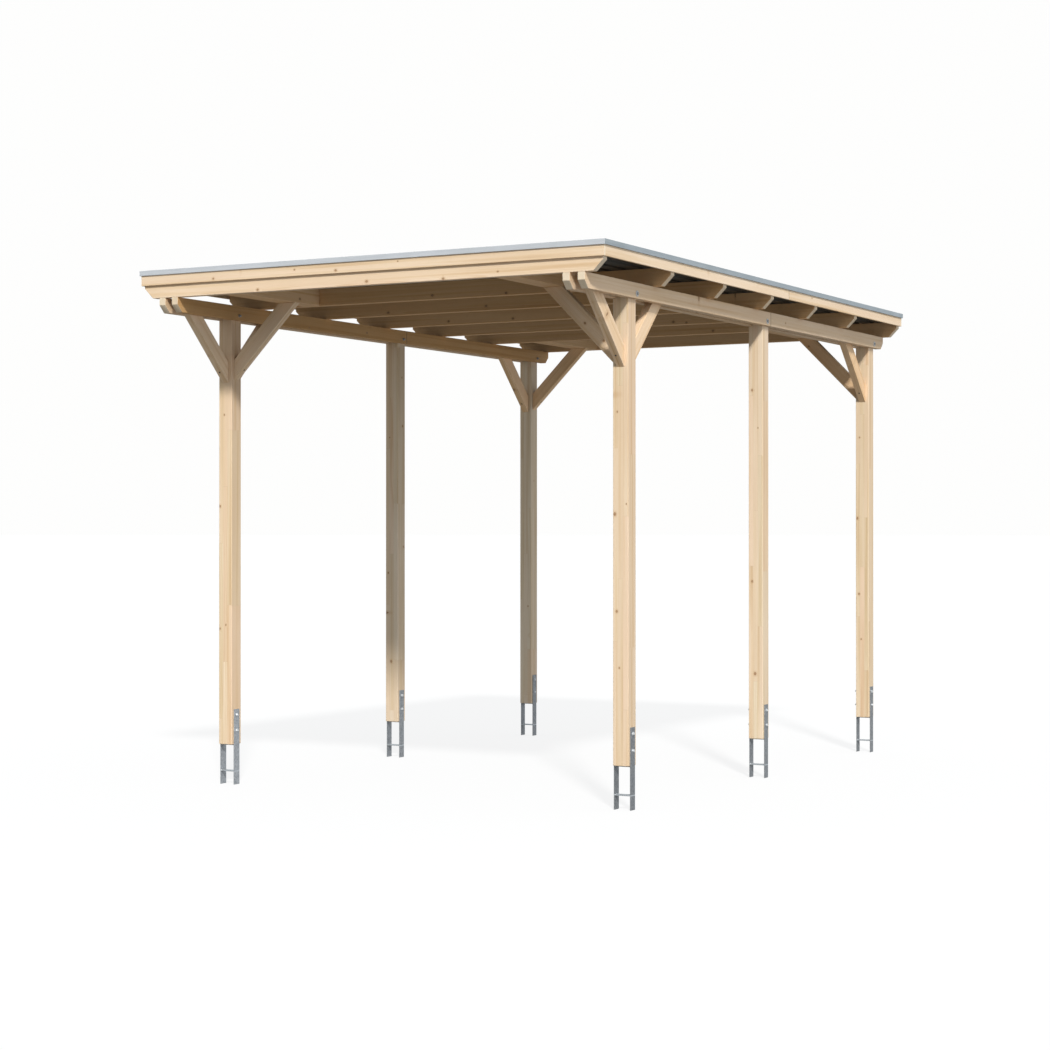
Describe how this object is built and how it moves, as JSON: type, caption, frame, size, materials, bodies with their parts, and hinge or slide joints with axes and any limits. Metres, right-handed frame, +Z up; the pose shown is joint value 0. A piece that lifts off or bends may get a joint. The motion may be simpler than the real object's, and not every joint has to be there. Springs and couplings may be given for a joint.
{
  "type": "timber carport",
  "caption": "Flat-roofed open timber carport with steel H-anchors, notched posts, twin beams, rafters, knee braces, edge boards with metal trim and ribbed metal sheets",
  "frame": {"origin": "on the ground plane under the middle of the roof, level with the feet of the anchors", "axes": "+X across the carport to the right seen from the front, +Y from the front to the back along the roof, +Z up"},
  "size_m": [3.9, 5.9, 3.897],
  "materials": {
    "glued_timber": "planed glued laminated spruce, untreated, with glue lines and small knots",
    "sawn_timber": "planed untreated spruce with fine grain and small knots",
    "edge_board": "planed untreated spruce board",
    "galvanised_steel": "hot-dip galvanised, dull grey with faint spangle",
    "edge_trim": "pale grey satin sheet trim",
    "roof_sheet": "dark grey-green coated steel sheet"
  },
  "bodies": {
    "root": {"anchor_front_left": "galvanised_steel", "anchor_middle_left": "galvanised_steel", "anchor_rear_left": "galvanised_steel", "anchor_front_right": "galvanised_steel", "anchor_middle_right": "galvanised_steel", "anchor_rear_right": "galvanised_steel", "post_front_left": "glued_timber", "post_middle_left": "glued_timber", "post_rear_left": "glued_timber", "post_front_right": "glued_timber", "post_middle_right": "glued_timber", "post_rear_right": "glued_timber", "beam_outer_front_left": "sawn_timber", "beam_outer_rear_left": "sawn_timber", "beam_inner_front_left": "sawn_timber", "beam_inner_rear_left": "sawn_timber", "beam_outer_front_right": "sawn_timber", "beam_outer_rear_right": "sawn_timber", "beam_inner_front_right": "sawn_timber", "beam_inner_rear_right": "sawn_timber", "rafter_1": "sawn_timber", "rafter_2": "sawn_timber", "rafter_3": "sawn_timber", "rafter_4": "sawn_timber", "rafter_5": "sawn_timber", "rafter_6": "sawn_timber", "rafter_7": "sawn_timber", "blocking_front_left": "sawn_timber", "blocking_rear_left": "sawn_timber", "blocking_front_right": "sawn_timber", "blocking_rear_right": "sawn_timber", "brace_front_forward_left": "sawn_timber", "brace_front_backward_left": "sawn_timber", "brace_rear_forward_left": "sawn_timber", "brace_cross_front_left": "sawn_timber", "brace_cross_rear_left": "sawn_timber", "brace_front_forward_right": "sawn_timber", "brace_front_backward_right": "sawn_timber", "brace_rear_forward_right": "sawn_timber", "brace_cross_front_right": "sawn_timber", "brace_cross_rear_right": "sawn_timber", "fascia_front": "edge_board", "fascia_rear": "edge_board", "fascia_left_front": "edge_board", "fascia_left_rear": "edge_board", "fascia_right_front": "edge_board", "fascia_right_rear": "edge_board", "roof_sheet_1": "roof_sheet", "roof_sheet_2": "roof_sheet", "roof_sheet_3": "roof_sheet", "roof_sheet_4": "roof_sheet", "trim_front": "edge_trim", "trim_rear": "edge_trim", "trim_left": "edge_trim", "trim_right": "edge_trim"}
  },
  "joints": []
}
